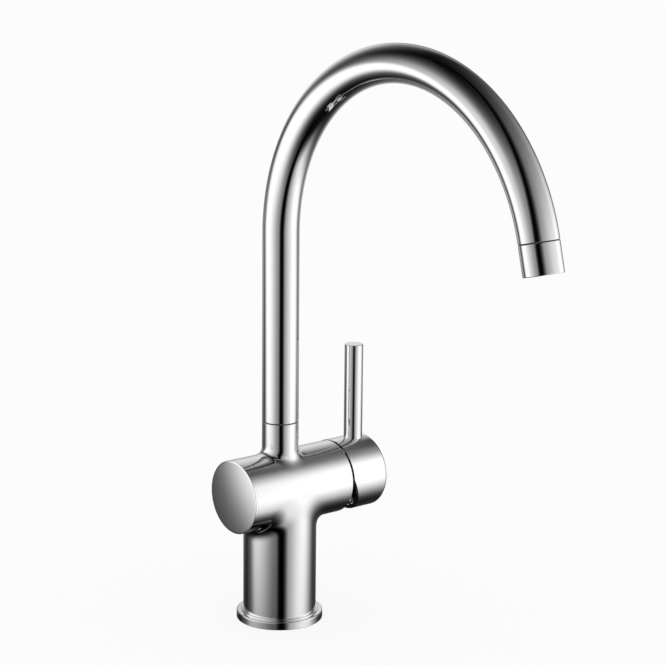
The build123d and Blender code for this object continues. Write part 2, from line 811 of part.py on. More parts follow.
with BuildPart() as spout_glide_ring:
    with BuildSketch(level(neck_top)):
        Circle(neck_radius - glide_ring_inset)
        Circle(neck_bore_radius, mode=Mode.SUBTRACT)
    extrude(amount=glide_ring_thickness)

stop_tip = stop_groove_floor + slack

with BuildPart() as spout_stop_screw:
    with BuildSketch(Plane(origin=(0, stop_tip, stop_screw_z), x_dir=(-1, 0, 0), z_dir=(0, 1, 0))):
        Circle(stop_screw_radius)
    extrude(amount=neck_radius - stop_tip - slack)
    with BuildSketch(spout_stop_screw.faces().sort_by(Axis.Y)[-1]):
        RegularPolygon(stop_screw_radius / 2, 6)
    extrude(amount=-stop_screw_radius, mode=Mode.SUBTRACT)

# ---------------------------------------------------------------------------------
# Filtered water line: spigot in the casting, its ring, and the tube up the spout
# ---------------------------------------------------------------------------------

with BuildPart() as filter_spigot:
    with BuildSketch(level(spigot_base_z)):
        Circle(spigot_seat_radius)
    extrude(amount=spigot_seat_depth + spigot_collar_height)
    with BuildSketch(level(spigot_base_z)):
        Circle(spigot_radius)
    extrude(amount=spigot_top_z - spigot_base_z)
    with BuildSketch(level(spigot_base_z)):
        Circle(spigot_bore)
    extrude(amount=spigot_top_z - spigot_base_z, mode=Mode.SUBTRACT)
    with BuildSketch(level(spigot_ring_z - spigot_ring_section / 2)):
        Circle(spigot_radius + slack)
        Circle(spigot_radius - spigot_ring_section, mode=Mode.SUBTRACT)
    extrude(amount=spigot_ring_section, mode=Mode.SUBTRACT)

with BuildPart(level(spigot_ring_z)) as filter_o_ring:
    Torus(torus_radius(spigot_radius, spigot_ring_section), spigot_ring_section / 2 - running)

with BuildPart() as filter_tube:
    with BuildLine() as filter_line:
        filter_rise = Line((0, 0, filter_tube_bottom_z), (0, 0, swan_start_z))
        TangentArc(filter_rise @ 1, swan_end, tangent=filter_rise % 1)
    with BuildSketch(level(filter_tube_bottom_z)):
        Circle(filter_tube_radius)
        Circle(filter_tube_bore, mode=Mode.SUBTRACT)
    sweep(path=filter_line.line)

# ---------------------------------------------------------------------------------
# Outlet: ferrule in the tube's end, aerator housing on a gasket, washer, core, mesh, nozzle
# ---------------------------------------------------------------------------------

ferrule_arc = degrees(ferrule_length / swan_radius)

with BuildPart() as outlet_ferrule:
    with BuildSketch(outlet_plane(0)):
        Circle(ferrule_outer)
        Circle(ferrule_inner, mode=Mode.SUBTRACT)
    revolve(axis=swan_axis, revolution_arc=-ferrule_arc)

with BuildPart() as aerator_housing:
    with BuildSketch(outlet_plane(outlet_seam)):
        Circle(tube_radius)
    extrude(amount=housing_length)
    rim = aerator_housing.edges().filter_by(GeomType.CIRCLE).sort_by(Axis.Z)[0]
    fillet(rim, housing_rim_round)
    with BuildSketch(outlet_plane(outlet_seam - housing_thread_length)):
        Circle(housing_thread_radius)
    extrude(amount=housing_thread_length)
    with BuildSketch(outlet_plane(outlet_seam - housing_thread_length)):
        Circle(housing_thread_bore)
    extrude(amount=housing_thread_length + aerator_floor, mode=Mode.SUBTRACT)
    with BuildSketch(outlet_plane(washer_start)):
        Circle(tube_radius - housing_wall)
    extrude(amount=housing_end - washer_start, mode=Mode.SUBTRACT)

with BuildPart() as outlet_gasket:
    with BuildSketch(outlet_plane(0)):
        Circle(tube_radius - outlet_gasket_inset)
        Circle(housing_thread_radius + running, mode=Mode.SUBTRACT)
    extrude(amount=outlet_seam)

with BuildPart() as aerator_washer:
    with BuildSketch(outlet_plane(washer_start)):
        Circle(aerator_radius)
        Circle(housing_thread_bore, mode=Mode.SUBTRACT)
    extrude(amount=aerator_washer_thickness)

cell_rows = int(aerator_radius / aerator_cell_size)
cell_limit = aerator_radius - aerator_cell_size / 2 - aerator_cell_wall
cell_start = aerator_hub_radius + aerator_cell_size / 2 + aerator_cell_wall / 2
cells = [
    (column * aerator_cell_size + (row % 2) * aerator_cell_size / 2, row * aerator_cell_size * sqrt(3) / 2)
    for row in range(-cell_rows, cell_rows + 1)
    for column in range(-cell_rows, cell_rows + 1)
]
cells = [p for p in cells if cell_start <= sqrt(p[0] ** 2 + p[1] ** 2) <= cell_limit]

with BuildPart() as aerator_core:
    with BuildSketch(outlet_plane(aerator_start)):
        Circle(aerator_radius)
        Circle(nozzle_radius + slack, mode=Mode.SUBTRACT)
    extrude(amount=aerator_end - aerator_start)
    # chamber round the hub, with the mesh across it and the honeycomb below
    with BuildSketch(outlet_plane(aerator_start)):
        Circle(aerator_radius - aerator_cell_wall * 2)
        Circle(aerator_hub_radius, mode=Mode.SUBTRACT)
    extrude(amount=aerator_end - aerator_cell_depth - aerator_start, mode=Mode.SUBTRACT)
    with BuildSketch(outlet_plane(aerator_end - aerator_cell_depth)):
        with Locations(*cells):
            RegularPolygon((aerator_cell_size - aerator_cell_wall) / sqrt(3), 6, rotation=30)
    extrude(amount=aerator_cell_depth, mode=Mode.SUBTRACT)

mesh_outer = aerator_radius - aerator_cell_wall * 2 - slack
mesh_inner = aerator_hub_radius + slack
mesh_reach = int(mesh_outer / mesh_hole_pitch)
mesh_holes = [
    (column * mesh_hole_pitch, row * mesh_hole_pitch)
    for row in range(-mesh_reach, mesh_reach + 1)
    for column in range(-mesh_reach, mesh_reach + 1)
]
mesh_holes = [
    p
    for p in mesh_holes
    if mesh_inner + mesh_hole_size <= sqrt(p[0] ** 2 + p[1] ** 2) <= mesh_outer - mesh_hole_size
]

with BuildPart() as aerator_mesh:
    with BuildSketch(outlet_plane(mesh_start)):
        Circle(mesh_outer)
        Circle(mesh_inner, mode=Mode.SUBTRACT)
        with Locations(*mesh_holes):
            Rectangle(mesh_hole_size, mesh_hole_size, mode=Mode.SUBTRACT)
    extrude(amount=mesh_thickness)

with BuildPart() as filter_nozzle:
    with BuildSketch(outlet_plane(slack)):
        Circle(nozzle_radius)
    extrude(amount=housing_end - nozzle_recess - slack)
    with BuildSketch(outlet_plane(-nozzle_barb_length)):
        Circle(nozzle_barb_radius)
    extrude(amount=nozzle_barb_length + slack)
    with BuildSketch(outlet_plane(-nozzle_barb_length)):
        Circle(nozzle_bore)
    extrude(amount=nozzle_barb_length + housing_end - nozzle_recess, mode=Mode.SUBTRACT)

# ---------------------------------------------------------------------------------
# Export
# ---------------------------------------------------------------------------------

os.makedirs("parts", exist_ok=True)
pieces = {
    "valve_body": valve_body,
    "base_ring": base_ring,
    "base_seal": base_seal,
    "end_cap": end_cap,
    "end_cap_o_ring": end_cap_o_ring,
    "port_plate": port_plate,
    "port_seals": port_seals,
    "fixed_ceramic_disc": fixed_ceramic_disc,
    "moving_ceramic_disc": moving_ceramic_disc,
    "disc_carrier": disc_carrier,
    "cartridge_turret": cartridge_turret,
    "turret_o_ring": turret_o_ring,
    "cartridge_housing": cartridge_housing,
    "stem_pivot_pin": stem_pivot_pin,
    "stem": stem,
    "cartridge_nut": cartridge_nut,
    "cartridge_dome": cartridge_dome,
    "lever_cap": lever_cap,
    "lever_pin": lever_pin,
    "lever_grub_screw": lever_grub_screw,
    "lever_screw_plug": lever_screw_plug,
    "spout_tube": spout_tube,
    "spout_foot": spout_foot,
    "spout_o_rings": spout_o_rings,
    "spout_glide_ring": spout_glide_ring,
    "spout_stop_screw": spout_stop_screw,
    "filter_spigot": filter_spigot,
    "filter_o_ring": filter_o_ring,
    "filter_tube": filter_tube,
    "outlet_ferrule": outlet_ferrule,
    "aerator_housing": aerator_housing,
    "outlet_gasket": outlet_gasket,
    "aerator_washer": aerator_washer,
    "aerator_core": aerator_core,
    "aerator_mesh": aerator_mesh,
    "filter_nozzle": filter_nozzle,
}
for label, piece in pieces.items():
    piece.part.label = label
    export_step(piece.part, f"parts/{label}.step")
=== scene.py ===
"""Studio view of a swan-neck kitchen tap. The chromed pieces that show are drawn as smooth
skins over the frame's solids, every other piece gets the material of its slot, and a tent
of soft boxes lights the chrome."""

import math

import bmesh
import bpy
import numpy as np
from mathutils import Matrix, Vector


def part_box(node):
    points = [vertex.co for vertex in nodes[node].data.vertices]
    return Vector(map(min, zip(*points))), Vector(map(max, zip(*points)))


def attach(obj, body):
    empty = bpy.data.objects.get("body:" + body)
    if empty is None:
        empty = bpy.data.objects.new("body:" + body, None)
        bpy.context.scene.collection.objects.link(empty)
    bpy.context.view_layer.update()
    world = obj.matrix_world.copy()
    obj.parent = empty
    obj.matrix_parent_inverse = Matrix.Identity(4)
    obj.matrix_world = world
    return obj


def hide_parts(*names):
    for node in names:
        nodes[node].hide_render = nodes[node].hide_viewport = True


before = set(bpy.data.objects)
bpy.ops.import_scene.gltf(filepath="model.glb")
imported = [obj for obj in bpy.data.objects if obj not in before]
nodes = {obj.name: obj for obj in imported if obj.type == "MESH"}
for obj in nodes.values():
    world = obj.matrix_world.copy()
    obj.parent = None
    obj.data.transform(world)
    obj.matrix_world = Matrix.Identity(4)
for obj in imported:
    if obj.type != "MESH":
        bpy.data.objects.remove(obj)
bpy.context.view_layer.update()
scene = bpy.context.scene

# ---------------------------------------------------------------------------------
# Sizes in millimetres: read from the frame's boxes, or named here
# ---------------------------------------------------------------------------------

MM = 0.001


def box_mm(name):
    """Lowest and highest corner of a CAD node, in millimetres."""
    low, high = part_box(name)
    return low / MM, high / MM


casting_low, casting_high = box_mm("valve_body")
end_low, end_high = box_mm("end_cap")
ring_high = box_mm("base_ring")[1]
seal_high = box_mm("base_seal")[1]
tube_low, tube_high = box_mm("spout_tube")

BARREL_RADIUS = casting_high.y
BARREL_HEIGHT = (end_low.z + end_high.z) / 2
NECK_TOP = casting_high.z
TUBE_RADIUS = tube_high.x
TUBE_BOTTOM = tube_low.z

COLUMN_RADIUS = 24.9
NECK_BORE = 9.6
FOOT_STEP = 4.0
OPEN_END_ROUND = 0.5
SEAM_ROUND = 0.3
NECK_BLEND = 7.0
NECK_FULLNESS = 3.5
SCREW_HOLE_RADIUS = 2.05
SCREW_BELOW_TOP = 8.2
SCREW_HEIGHT = NECK_TOP - SCREW_BELOW_TOP

TUBE_BORE = 11.2
RISER_LENGTH = 127.9
SWAN_RADIUS = 122.0
SWAN_TURN = math.radians(165.8)
SPOUT_LENGTH = RISER_LENGTH + SWAN_RADIUS * SWAN_TURN

OUTLET_SEAM = 0.6
HOUSING_LENGTH = 18.75
HOUSING_BORE = 10.8
HOUSING_FLOOR = 6.0
MOUTH_ROUND = 0.5
MOUTH_INNER_ROUND = 0.2
NIPPLE_RADIUS = 10.0
NIPPLE_BORE = 8.6
NIPPLE_LENGTH = 6.0
NIPPLE_ROUND = 0.3

END_CROWN = 1.2
END_BEVEL = 1.0
END_BEVEL_DROP = 0.29
END_ROUND = 0.3
END_SEAM_ROUND = 0.1
END_SPIGOT_RADIUS = 19.9
END_SPIGOT_ROUND = 0.2
END_GROOVE_RADIUS = 18.4
END_GROOVE_WIDTH = 1.5
END_RECESS_RADIUS = 15.5

RING_FOOT_ROUND = 0.3
RING_EDGE_ROUND = 0.9
RING_LEDGE = 0.8
RING_CLEARANCE = 0.05
LIP_RADIUS = 26.5
LIP_FOOT = 5.4
LIP_ROUND = 0.7
LIP_INNER_ROUND = 0.1
SEAL_INNER = 26.15

# ---------------------------------------------------------------------------------
# Camera at the photograph's viewing angle, with places in metres
# ---------------------------------------------------------------------------------

CAMERA_DISTANCE = 1.39045
CAMERA_HEIGHT = 0.51901
CAMERA_AZIMUTH = math.radians(-38.01)
CAMERA_YAW = math.radians(-1.43)
CAMERA_PITCH = math.radians(-12.91)
CAMERA_ROLL = math.radians(0.56)
LENS = 115.41
SENSOR = 36.0


def make_camera():
    heading = CAMERA_AZIMUTH + CAMERA_YAW
    level_ahead = Vector((-math.sin(heading), math.cos(heading), 0))
    forward = level_ahead * math.cos(CAMERA_PITCH) + Vector((0, 0, math.sin(CAMERA_PITCH)))
    right = Vector((math.cos(heading), math.sin(heading), 0))
    up = right.cross(forward)
    rolled_right = right * math.cos(CAMERA_ROLL) + up * math.sin(CAMERA_ROLL)
    rolled_up = up * math.cos(CAMERA_ROLL) - right * math.sin(CAMERA_ROLL)
    data = bpy.data.cameras.new("camera")
    data.lens = LENS
    data.sensor_width = SENSOR
    data.dof.use_dof = False
    camera = bpy.data.objects.new("camera", data)
    scene.collection.objects.link(camera)
    turn = Matrix((rolled_right, rolled_up, -forward)).transposed().to_4x4()
    from_axis = Vector((math.sin(CAMERA_AZIMUTH), -math.cos(CAMERA_AZIMUTH), 0)) * CAMERA_DISTANCE
    camera.matrix_world = Matrix.Translation(from_axis + Vector((0, 0, CAMERA_HEIGHT))) @ turn
    scene.camera = camera


# ---------------------------------------------------------------------------------
# Studio: white world and floor, and the tent of soft boxes that the chrome reflects
# ---------------------------------------------------------------------------------

WHITE = 0.973
DISPLAY_GAMMA = 2.2
CHROME_REFLECTANCE = 0.90
FLOOR_REACH = 6.0
FLOOR_CORNERS = ((-1, -1), (1, -1), (1, 1), (-1, 1))
FLOOR_GLOW = 0.86

TENT_CENTRE = Vector((-0.06, -0.03, 0.15))
TENT_RADIUS = 0.60
TENT_SQUASH = 0.75
TENT_COLUMNS = 720
TENT_ROWS = 360
TENT_BASE = 0.075

GAP_MIDDLE = -29.5
GAP_LEAN = -0.052
GAP_BEND = 0.0154
GAP_BEND_START = 20
GAP_HALF = 13
GAP_TAPER = 0.16
GAP_TAPER_START = 30
GAP_HALF_AT_LEAST = 3
GAP_SOFT_LEFT = 8
GAP_SOFT_RIGHT = 11
GAP_DARKNESS = 0.9


def rises(x, at, softness):
    """Goes from 0 to 1 where x passes a soft edge."""
    t = np.clip((x - at) / (2 * softness + 1) + 0.5, 0, 1)
    return t * t * (3 - 2 * t)


def turned_from(azimuth, middle):
    """Degrees from a middle azimuth, negative to its left."""
    return (azimuth - middle + 180) % 360 - 180


def soft_box(azimuth, elevation, middle, half, low, high, lean, bright, soft, soft_ends):
    """Glow of one soft box of the tent, half as wide as it says on either side of its middle,
    from its low to its high elevation. Angles are in degrees, and each pair of values is for
    its left and right, or its lower and upper, side. A leaning box shifts sideways as it
    goes up."""
    across = turned_from(azimuth, middle + lean * elevation)
    share = np.clip((across + half) / (2 * half), 0, 1)
    level = bright[0] + (bright[1] - bright[0]) * share
    sides = rises(across, -half, soft[0]) * rises(-across, -half, soft[1])
    ends = rises(elevation, low, soft_ends[0]) * rises(-elevation, -high, soft_ends[1])
    return level * sides * ends


def dark_gap(azimuth, elevation):
    """Share of the glow that is left in the gap between the front sheets, where the
    photographer stands. The gap bends to the right and narrows towards the top."""
    bend = GAP_BEND * np.maximum(elevation - GAP_BEND_START, 0) ** 2
    across = turned_from(azimuth, GAP_MIDDLE + GAP_LEAN * elevation + bend)
    taper = GAP_TAPER * np.maximum(elevation - GAP_TAPER_START, 0)
    half = np.maximum(GAP_HALF - taper, GAP_HALF_AT_LEAST)
    sides = rises(across, -half, GAP_SOFT_LEFT) * rises(-across, -half, GAP_SOFT_RIGHT)
    return 1 - GAP_DARKNESS * sides


def tent_glow(azimuth, elevation):
    """Display brightness of the tent by azimuth, from -Y towards +X, and elevation."""
    wide_left = dict(
        middle=-78, half=56, low=-50, high=70, lean=0.03,
        bright=(1.16, 0.17), soft=(60, 21), soft_ends=(32, 28),
    )
    back_left = dict(
        middle=-132, half=23, low=37, high=32, lean=-0.45,
        bright=(1.78, 0.99), soft=(12, 32), soft_ends=(129, 16),
    )
    front_right = dict(
        middle=9.5, half=48, low=-62, high=55, lean=-0.05,
        bright=(0.21, 1.14), soft=(20, 42), soft_ends=(14, 32),
    )
    key = dict(
        middle=63.5, half=21, low=-31, high=51, lean=0.11,
        bright=(0.41, 0.51), soft=(18, 12), soft_ends=(24, 39),
    )
    low_wall = dict(
        middle=139.5, half=51, low=-24, high=8, lean=0.39,
        bright=(0.43, 0.82), soft=(38, 14), soft_ends=(51, 29),
    )
    ceiling = dict(
        middle=113.5, half=37, low=47, high=71, lean=0.3,
        bright=(0.59, 0.71), soft=(17, 33), soft_ends=(18, 17),
    )
    window = dict(
        middle=116.5, half=27.5, low=2, high=49.5, lean=0.66,
        bright=(0.40, 1.13), soft=(12, 31), soft_ends=(38, 20),
    )
    glow = np.full(azimuth.shape, TENT_BASE)
    for box in (wide_left, back_left, front_right, key, low_wall, ceiling, window):
        glow += soft_box(azimuth, elevation, **box)
    return np.minimum(glow * dark_gap(azimuth, elevation), 1)


def clear_material(name):
    """Material with an empty node tree, and that tree."""
    material = bpy.data.materials.new(name)
    material.use_nodes = True
    material.node_tree.nodes.clear()
    return material, material.node_tree


def maths(tree, operation, first, second):
    """Result of a maths node. Its inputs are the outputs of other nodes, or plain numbers."""
    node = tree.nodes.new("ShaderNodeMath")
    node.operation = operation
    for socket, source in zip(node.inputs, (first, second)):
        if isinstance(source, float):
            socket.default_value = source
        else:
            tree.links.new(source, socket)
    return node.outputs[0]


def make_tent():
    azimuths = np.linspace(-180, 180, TENT_COLUMNS, endpoint=False)
    elevations = np.linspace(-90, 90, TENT_ROWS + 1)
    azimuth, elevation = np.meshgrid(azimuths, elevations)
    turn = np.radians(azimuth)
    rise = np.radians(elevation)
    x = TENT_CENTRE.x + TENT_RADIUS * np.cos(rise) * np.sin(turn)
    y = TENT_CENTRE.y - TENT_RADIUS * np.cos(rise) * np.cos(turn)
    z = TENT_CENTRE.z + TENT_RADIUS * TENT_SQUASH * np.sin(rise)
    points = np.stack([x, y, z], -1).reshape(-1, 3)
    mesh = bpy.data.meshes.new("light_tent")
    faces = ring_faces(TENT_ROWS + 1, TENT_COLUMNS, closed=False)
    mesh.from_pydata(points.tolist(), [], faces)
    glow = tent_glow(azimuth, elevation).reshape(-1).astype(np.float32)
    attribute = mesh.attributes.new("glow", "FLOAT", "POINT")
    attribute.data.foreach_set("value", glow)
    tent = bpy.data.objects.new("light_tent", mesh)
    scene.collection.objects.link(tent)
    tent.visible_camera = False
    tent.visible_diffuse = False
    tent.visible_transmission = False
    tent.visible_shadow = False
    material, tree = clear_material("tent_glow")
    read = tree.nodes.new("ShaderNodeAttribute")
    read.attribute_name = "glow"
    emission = tree.nodes.new("ShaderNodeEmission")
    emission.inputs["Strength"].default_value = 1 / CHROME_REFLECTANCE
    output = tree.nodes.new("ShaderNodeOutputMaterial")
    light = maths(tree, "POWER", read.outputs["Fac"], DISPLAY_GAMMA)
    tree.links.new(light, emission.inputs["Color"])
    tree.links.new(emission.outputs[0], output.inputs["Surface"])
    mesh.materials.append(material)


def make_floor():
    """White floor that glows for the camera, with a share of plain white that keeps the shadow."""
    mesh = bpy.data.meshes.new("floor")
    corners = [(x * FLOOR_REACH, y * FLOOR_REACH, 0) for x, y in FLOOR_CORNERS]
    mesh.from_pydata(corners, [], [(0, 1, 2, 3)])
    floor = bpy.data.objects.new("floor", mesh)
    scene.collection.objects.link(floor)
    material, tree = clear_material("floor")
    matt = tree.nodes.new("ShaderNodeBsdfDiffuse")
    matt.inputs["Color"].default_value = (1, 1, 1, 1)
    glow = tree.nodes.new("ShaderNodeEmission")
    glow.inputs["Color"].default_value = (WHITE, WHITE, WHITE, 1)
    path = tree.nodes.new("ShaderNodeLightPath").outputs
    mix = tree.nodes.new("ShaderNodeMixShader")
    output = tree.nodes.new("ShaderNodeOutputMaterial")
    seen = maths(tree, "MAXIMUM", path["Is Camera Ray"], path["Is Glossy Ray"])
    seen = maths(tree, "MAXIMUM", seen, path["Is Transmission Ray"])
    tree.links.new(maths(tree, "MULTIPLY", seen, FLOOR_GLOW), mix.inputs["Fac"])
    tree.links.new(matt.outputs[0], mix.inputs[1])
    tree.links.new(glow.outputs[0], mix.inputs[2])
    tree.links.new(mix.outputs[0], output.inputs["Surface"])
    mesh.materials.append(material)
    floor.visible_glossy = False


def make_world():
    world = bpy.data.worlds.new("studio")
    world.use_nodes = True
    background = world.node_tree.nodes["Background"]
    background.inputs["Color"].default_value = (WHITE, WHITE, WHITE, 1)
    background.inputs["Strength"].default_value = 1.0
    scene.world = world


# ---------------------------------------------------------------------------------
# Materials, one for each slot of the record
# ---------------------------------------------------------------------------------

RAMP_START = 0.3
RAMP_END = 0.7


class Finish:
    """A Principled material with procedural variation of its colour, roughness and relief."""

    def __init__(self, name, colour, roughness, metallic=0.0):
        self.material = bpy.data.materials.new(name)
        self.material.use_nodes = True
        self.tree = self.material.node_tree
        self.shader = self.tree.nodes["Principled BSDF"]
        self.shader.inputs["Base Color"].default_value = (*colour, 1)
        self.shader.inputs["Roughness"].default_value = roughness
        self.shader.inputs["Metallic"].default_value = metallic
        self.place = self.tree.nodes.new("ShaderNodeTexCoord").outputs["Object"]

    def noise(self, scale, detail=3.0, stretch=(1, 1, 1)):
        """Noise of features about 1 / scale metres across."""
        mapping = self.tree.nodes.new("ShaderNodeMapping")
        mapping.inputs["Scale"].default_value = stretch
        noise = self.tree.nodes.new("ShaderNodeTexNoise")
        noise.inputs["Scale"].default_value = scale
        noise.inputs["Detail"].default_value = detail
        self.tree.links.new(self.place, mapping.inputs["Vector"])
        self.tree.links.new(mapping.outputs["Vector"], noise.inputs["Vector"])
        return noise.outputs["Fac"]

    def vary_roughness(self, pattern, low, high):
        span = self.tree.nodes.new("ShaderNodeMapRange")
        span.inputs["To Min"].default_value = low
        span.inputs["To Max"].default_value = high
        self.tree.links.new(pattern, span.inputs["Value"])
        self.tree.links.new(span.outputs["Result"], self.shader.inputs["Roughness"])

    def vary_colour(self, pattern, dark, light):
        ramp = self.tree.nodes.new("ShaderNodeValToRGB")
        first, last = ramp.color_ramp.elements
        first.color = (*dark, 1)
        last.color = (*light, 1)
        first.position = RAMP_START
        last.position = RAMP_END
        self.tree.links.new(pattern, ramp.inputs["Fac"])
        self.tree.links.new(ramp.outputs["Color"], self.shader.inputs["Base Color"])

    def relief(self, pattern, depth, strength):
        bump = self.tree.nodes.new("ShaderNodeBump")
        bump.inputs["Distance"].default_value = depth
        bump.inputs["Strength"].default_value = strength
        self.tree.links.new(pattern, bump.inputs["Height"])
        self.tree.links.new(bump.outputs["Normal"], self.shader.inputs["Normal"])


def chrome():
    """Mirror chrome, with the slightly uneven polish of a plated casting."""
    grey = (CHROME_REFLECTANCE, CHROME_REFLECTANCE, CHROME_REFLECTANCE)
    finish = Finish("chrome", grey, 0.03, metallic=1.0)
    finish.vary_roughness(finish.noise(90, detail=4), 0.02, 0.05)
    return finish


def brass():
    finish = Finish("brass", (0.78, 0.62, 0.33), 0.28, metallic=1.0)
    finish.vary_colour(finish.noise(160), (0.72, 0.55, 0.27), (0.82, 0.66, 0.37))
    turning = finish.noise(1500, detail=2, stretch=(0.05, 0.05, 1))
    finish.vary_roughness(turning, 0.2, 0.4)
    finish.relief(turning, 0.00004, strength=0.4)
    return finish


def steel():
    finish = Finish("steel", (0.62, 0.63, 0.64), 0.25, metallic=1.0)
    turning = finish.noise(2000, detail=2, stretch=(0.04, 1, 0.04))
    finish.vary_roughness(turning, 0.18, 0.35)
    finish.relief(turning, 0.00003, strength=0.4)
    return finish


def rubber():
    finish = Finish("rubber", (0.03, 0.03, 0.03), 0.7)
    finish.vary_colour(finish.noise(400), (0.022, 0.022, 0.023), (0.04, 0.04, 0.04))
    finish.relief(finish.noise(2500, detail=4), 0.00005, strength=0.5)
    return finish


def ceramic():
    finish = Finish("ceramic", (0.93, 0.92, 0.90), 0.12)
    finish.vary_colour(finish.noise(900, detail=5), (0.90, 0.89, 0.86), (0.95, 0.94, 0.92))
    finish.vary_roughness(finish.noise(300), 0.08, 0.18)
    return finish


GRAIN_SPREAD = 0.08


def moulded(name, colour, spread, roughness):
    """Moulded plastic with a fine spark-eroded grain."""
    finish = Finish(name, colour, roughness)
    dark = tuple(channel * (1 - spread) for channel in colour)
    light = tuple(min(channel * (1 + spread), 1) for channel in colour)
    finish.vary_colour(finish.noise(220), dark, light)
    grain = finish.noise(700, detail=4)
    finish.vary_roughness(grain, roughness - GRAIN_SPREAD, roughness + GRAIN_SPREAD)
    finish.relief(finish.noise(3500, detail=3), 0.00003, strength=0.4)
    return finish


def make_materials():
    finishes = [
        chrome(),
        brass(),
        steel(),
        rubber(),
        ceramic(),
        moulded("white_plastic", (0.88, 0.88, 0.86), 0.02, 0.35),
        moulded("grey_plastic", (0.33, 0.35, 0.37), 0.06, 0.42),
        moulded("black_plastic", (0.04, 0.04, 0.045), 0.15, 0.45),
    ]
    return {finish.material.name.split(".")[0]: finish.material for finish in finishes}


def dress_nodes():
    """Gives every CAD node the material of its slot in the record."""
    for node in nodes.values():
        for place in node.material_slots:
            place.material = materials[place.material.name.split(".")[0]]


# ---------------------------------------------------------------------------------
# Mesh helpers: rounded outlines turned about a line or swept along the spout
# ---------------------------------------------------------------------------------

ARC_STEPS = 6
FLAT_HOLD = 0.02
TURN_STEPS = 192
SHARP_ANGLE = math.radians(35)
MERGE_DISTANCE = 1e-7


def ring_faces(rings, steps, closed=True):
    """Quads between rings of points, with the last ring joined to the first if closed."""
    count = rings if closed else rings - 1
    faces = []
    for ring in range(count):
        low = ring * steps
        high = (ring + 1) % rings * steps
        for step in range(steps):
            after = (step + 1) % steps
            faces.append((low + step, low + after, high + after, high + step))
    return faces


def round_corners(corners):
    """Closed outline from corners of (radius, height, rounding). A short straight step at
    both ends of each rounding keeps the surfaces beside it flat to the light."""
    outline = []
    for n, (radius, height, rounding) in enumerate(corners):
        here = Vector((radius, height))
        if rounding == 0:
            outline.append(here)
            continue
        back = (Vector(corners[n - 1][:2]) - here).normalized()
        ahead = (Vector(corners[(n + 1) % len(corners)][:2]) - here).normalized()
        half = back.angle(ahead) / 2
        centre = here + (back + ahead).normalized() * rounding / math.sin(half)
        start = here + back * rounding / math.tan(half) - centre
        end = here + ahead * rounding / math.tan(half) - centre
        outline.append(centre + start + back * FLAT_HOLD)
        for step in range(ARC_STEPS + 1):
            spoke = start.lerp(end, step / ARC_STEPS).normalized() * rounding
            outline.append(centre + spoke)
        outline.append(centre + end + ahead * FLAT_HOLD)
    return outline


def around_column(radius, height, angle):
    x = radius * np.cos(angle)
    y = radius * np.sin(angle)
    return np.stack(np.broadcast_arrays(x, y, height), -1)


def around_barrel(radius, place, angle):
    y = radius * np.cos(angle)
    z = BARREL_HEIGHT + radius * np.sin(angle)
    return np.stack(np.broadcast_arrays(place, y, z), -1)


def around_spout(radius, distance, angle):
    """Point at a distance along the spout from its lower end, beyond the outlet too."""
    turn = np.clip((distance - RISER_LENGTH) / SWAN_RADIUS, 0, SWAN_TURN)
    before = np.minimum(distance - RISER_LENGTH, 0)
    beyond = np.maximum(distance - SPOUT_LENGTH, 0)
    reach = SWAN_RADIUS + radius * np.sin(angle)
    x = radius * np.cos(angle)
    y = -SWAN_RADIUS + reach * np.cos(turn) - beyond * np.sin(turn)
    z = TUBE_BOTTOM + RISER_LENGTH + before + reach * np.sin(turn) + beyond * np.cos(turn)
    return np.stack(np.broadcast_arrays(x, y, z), -1)


def turn_grid(outline):
    """Radius and height of an outline's points and the angles of a turn, ready to broadcast."""
    radius = np.array([p[0] for p in outline])[:, None]
    height = np.array([p[1] for p in outline])[:, None]
    angle = np.linspace(0, 2 * math.pi, TURN_STEPS, endpoint=False)[None, :]
    return radius, height, angle


def revolved(outline, place):
    """Points and quads of a closed outline of (radius, height), laid round a line by place."""
    points = place(*turn_grid(outline)).reshape(-1, 3)
    return points, ring_faces(len(outline), TURN_STEPS)


def make_piece(name, points, faces, body, slot_name, replaced):
    mesh = bpy.data.meshes.new(name)
    mesh.from_pydata((np.asarray(points) * MM).tolist(), [], faces)
    shape = bmesh.new()
    shape.from_mesh(mesh)
    bmesh.ops.remove_doubles(shape, verts=shape.verts, dist=MERGE_DISTANCE)
    bmesh.ops.recalc_face_normals(shape, faces=shape.faces)
    shape.to_mesh(mesh)
    shape.free()
    mesh.shade_smooth()
    mesh.set_sharp_from_angle(angle=SHARP_ANGLE)
    place_piece(name, mesh, body, slot_name, replaced)


def place_piece(name, mesh, body, slot_name, replaced):
    piece = bpy.data.objects.new(name, mesh)
    scene.collection.objects.link(piece)
    mesh.materials.append(materials[slot_name])
    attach(piece, body)
    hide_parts(replaced)


# ---------------------------------------------------------------------------------
# Spout tube, outlet housing, base ring and end cap
# ---------------------------------------------------------------------------------

SPOUT_STEP = 1.6
INSIDE_STRIDE = 4
CROWN_POINTS = 25


def make_spout_tube():
    stations = np.linspace(0, SPOUT_LENGTH, int(SPOUT_LENGTH / SPOUT_STEP))
    ends = round_corners(
        [
            (TUBE_BORE, 0, 0),
            (TUBE_RADIUS, 0, SEAM_ROUND),
            (TUBE_RADIUS, SPOUT_LENGTH, SEAM_ROUND),
            (TUBE_BORE, SPOUT_LENGTH, 0),
        ]
    )
    half = len(ends) // 2
    outside = [(TUBE_RADIUS, s) for s in stations[1:-1]]
    inside = [(TUBE_BORE, s) for s in reversed(stations[1:-1:INSIDE_STRIDE])]
    outline = ends[:half] + outside + ends[half:] + inside
    points, faces = revolved(outline, around_spout)
    make_piece("spout_tube_shown", points, faces, "spout", "chrome", "spout_tube")


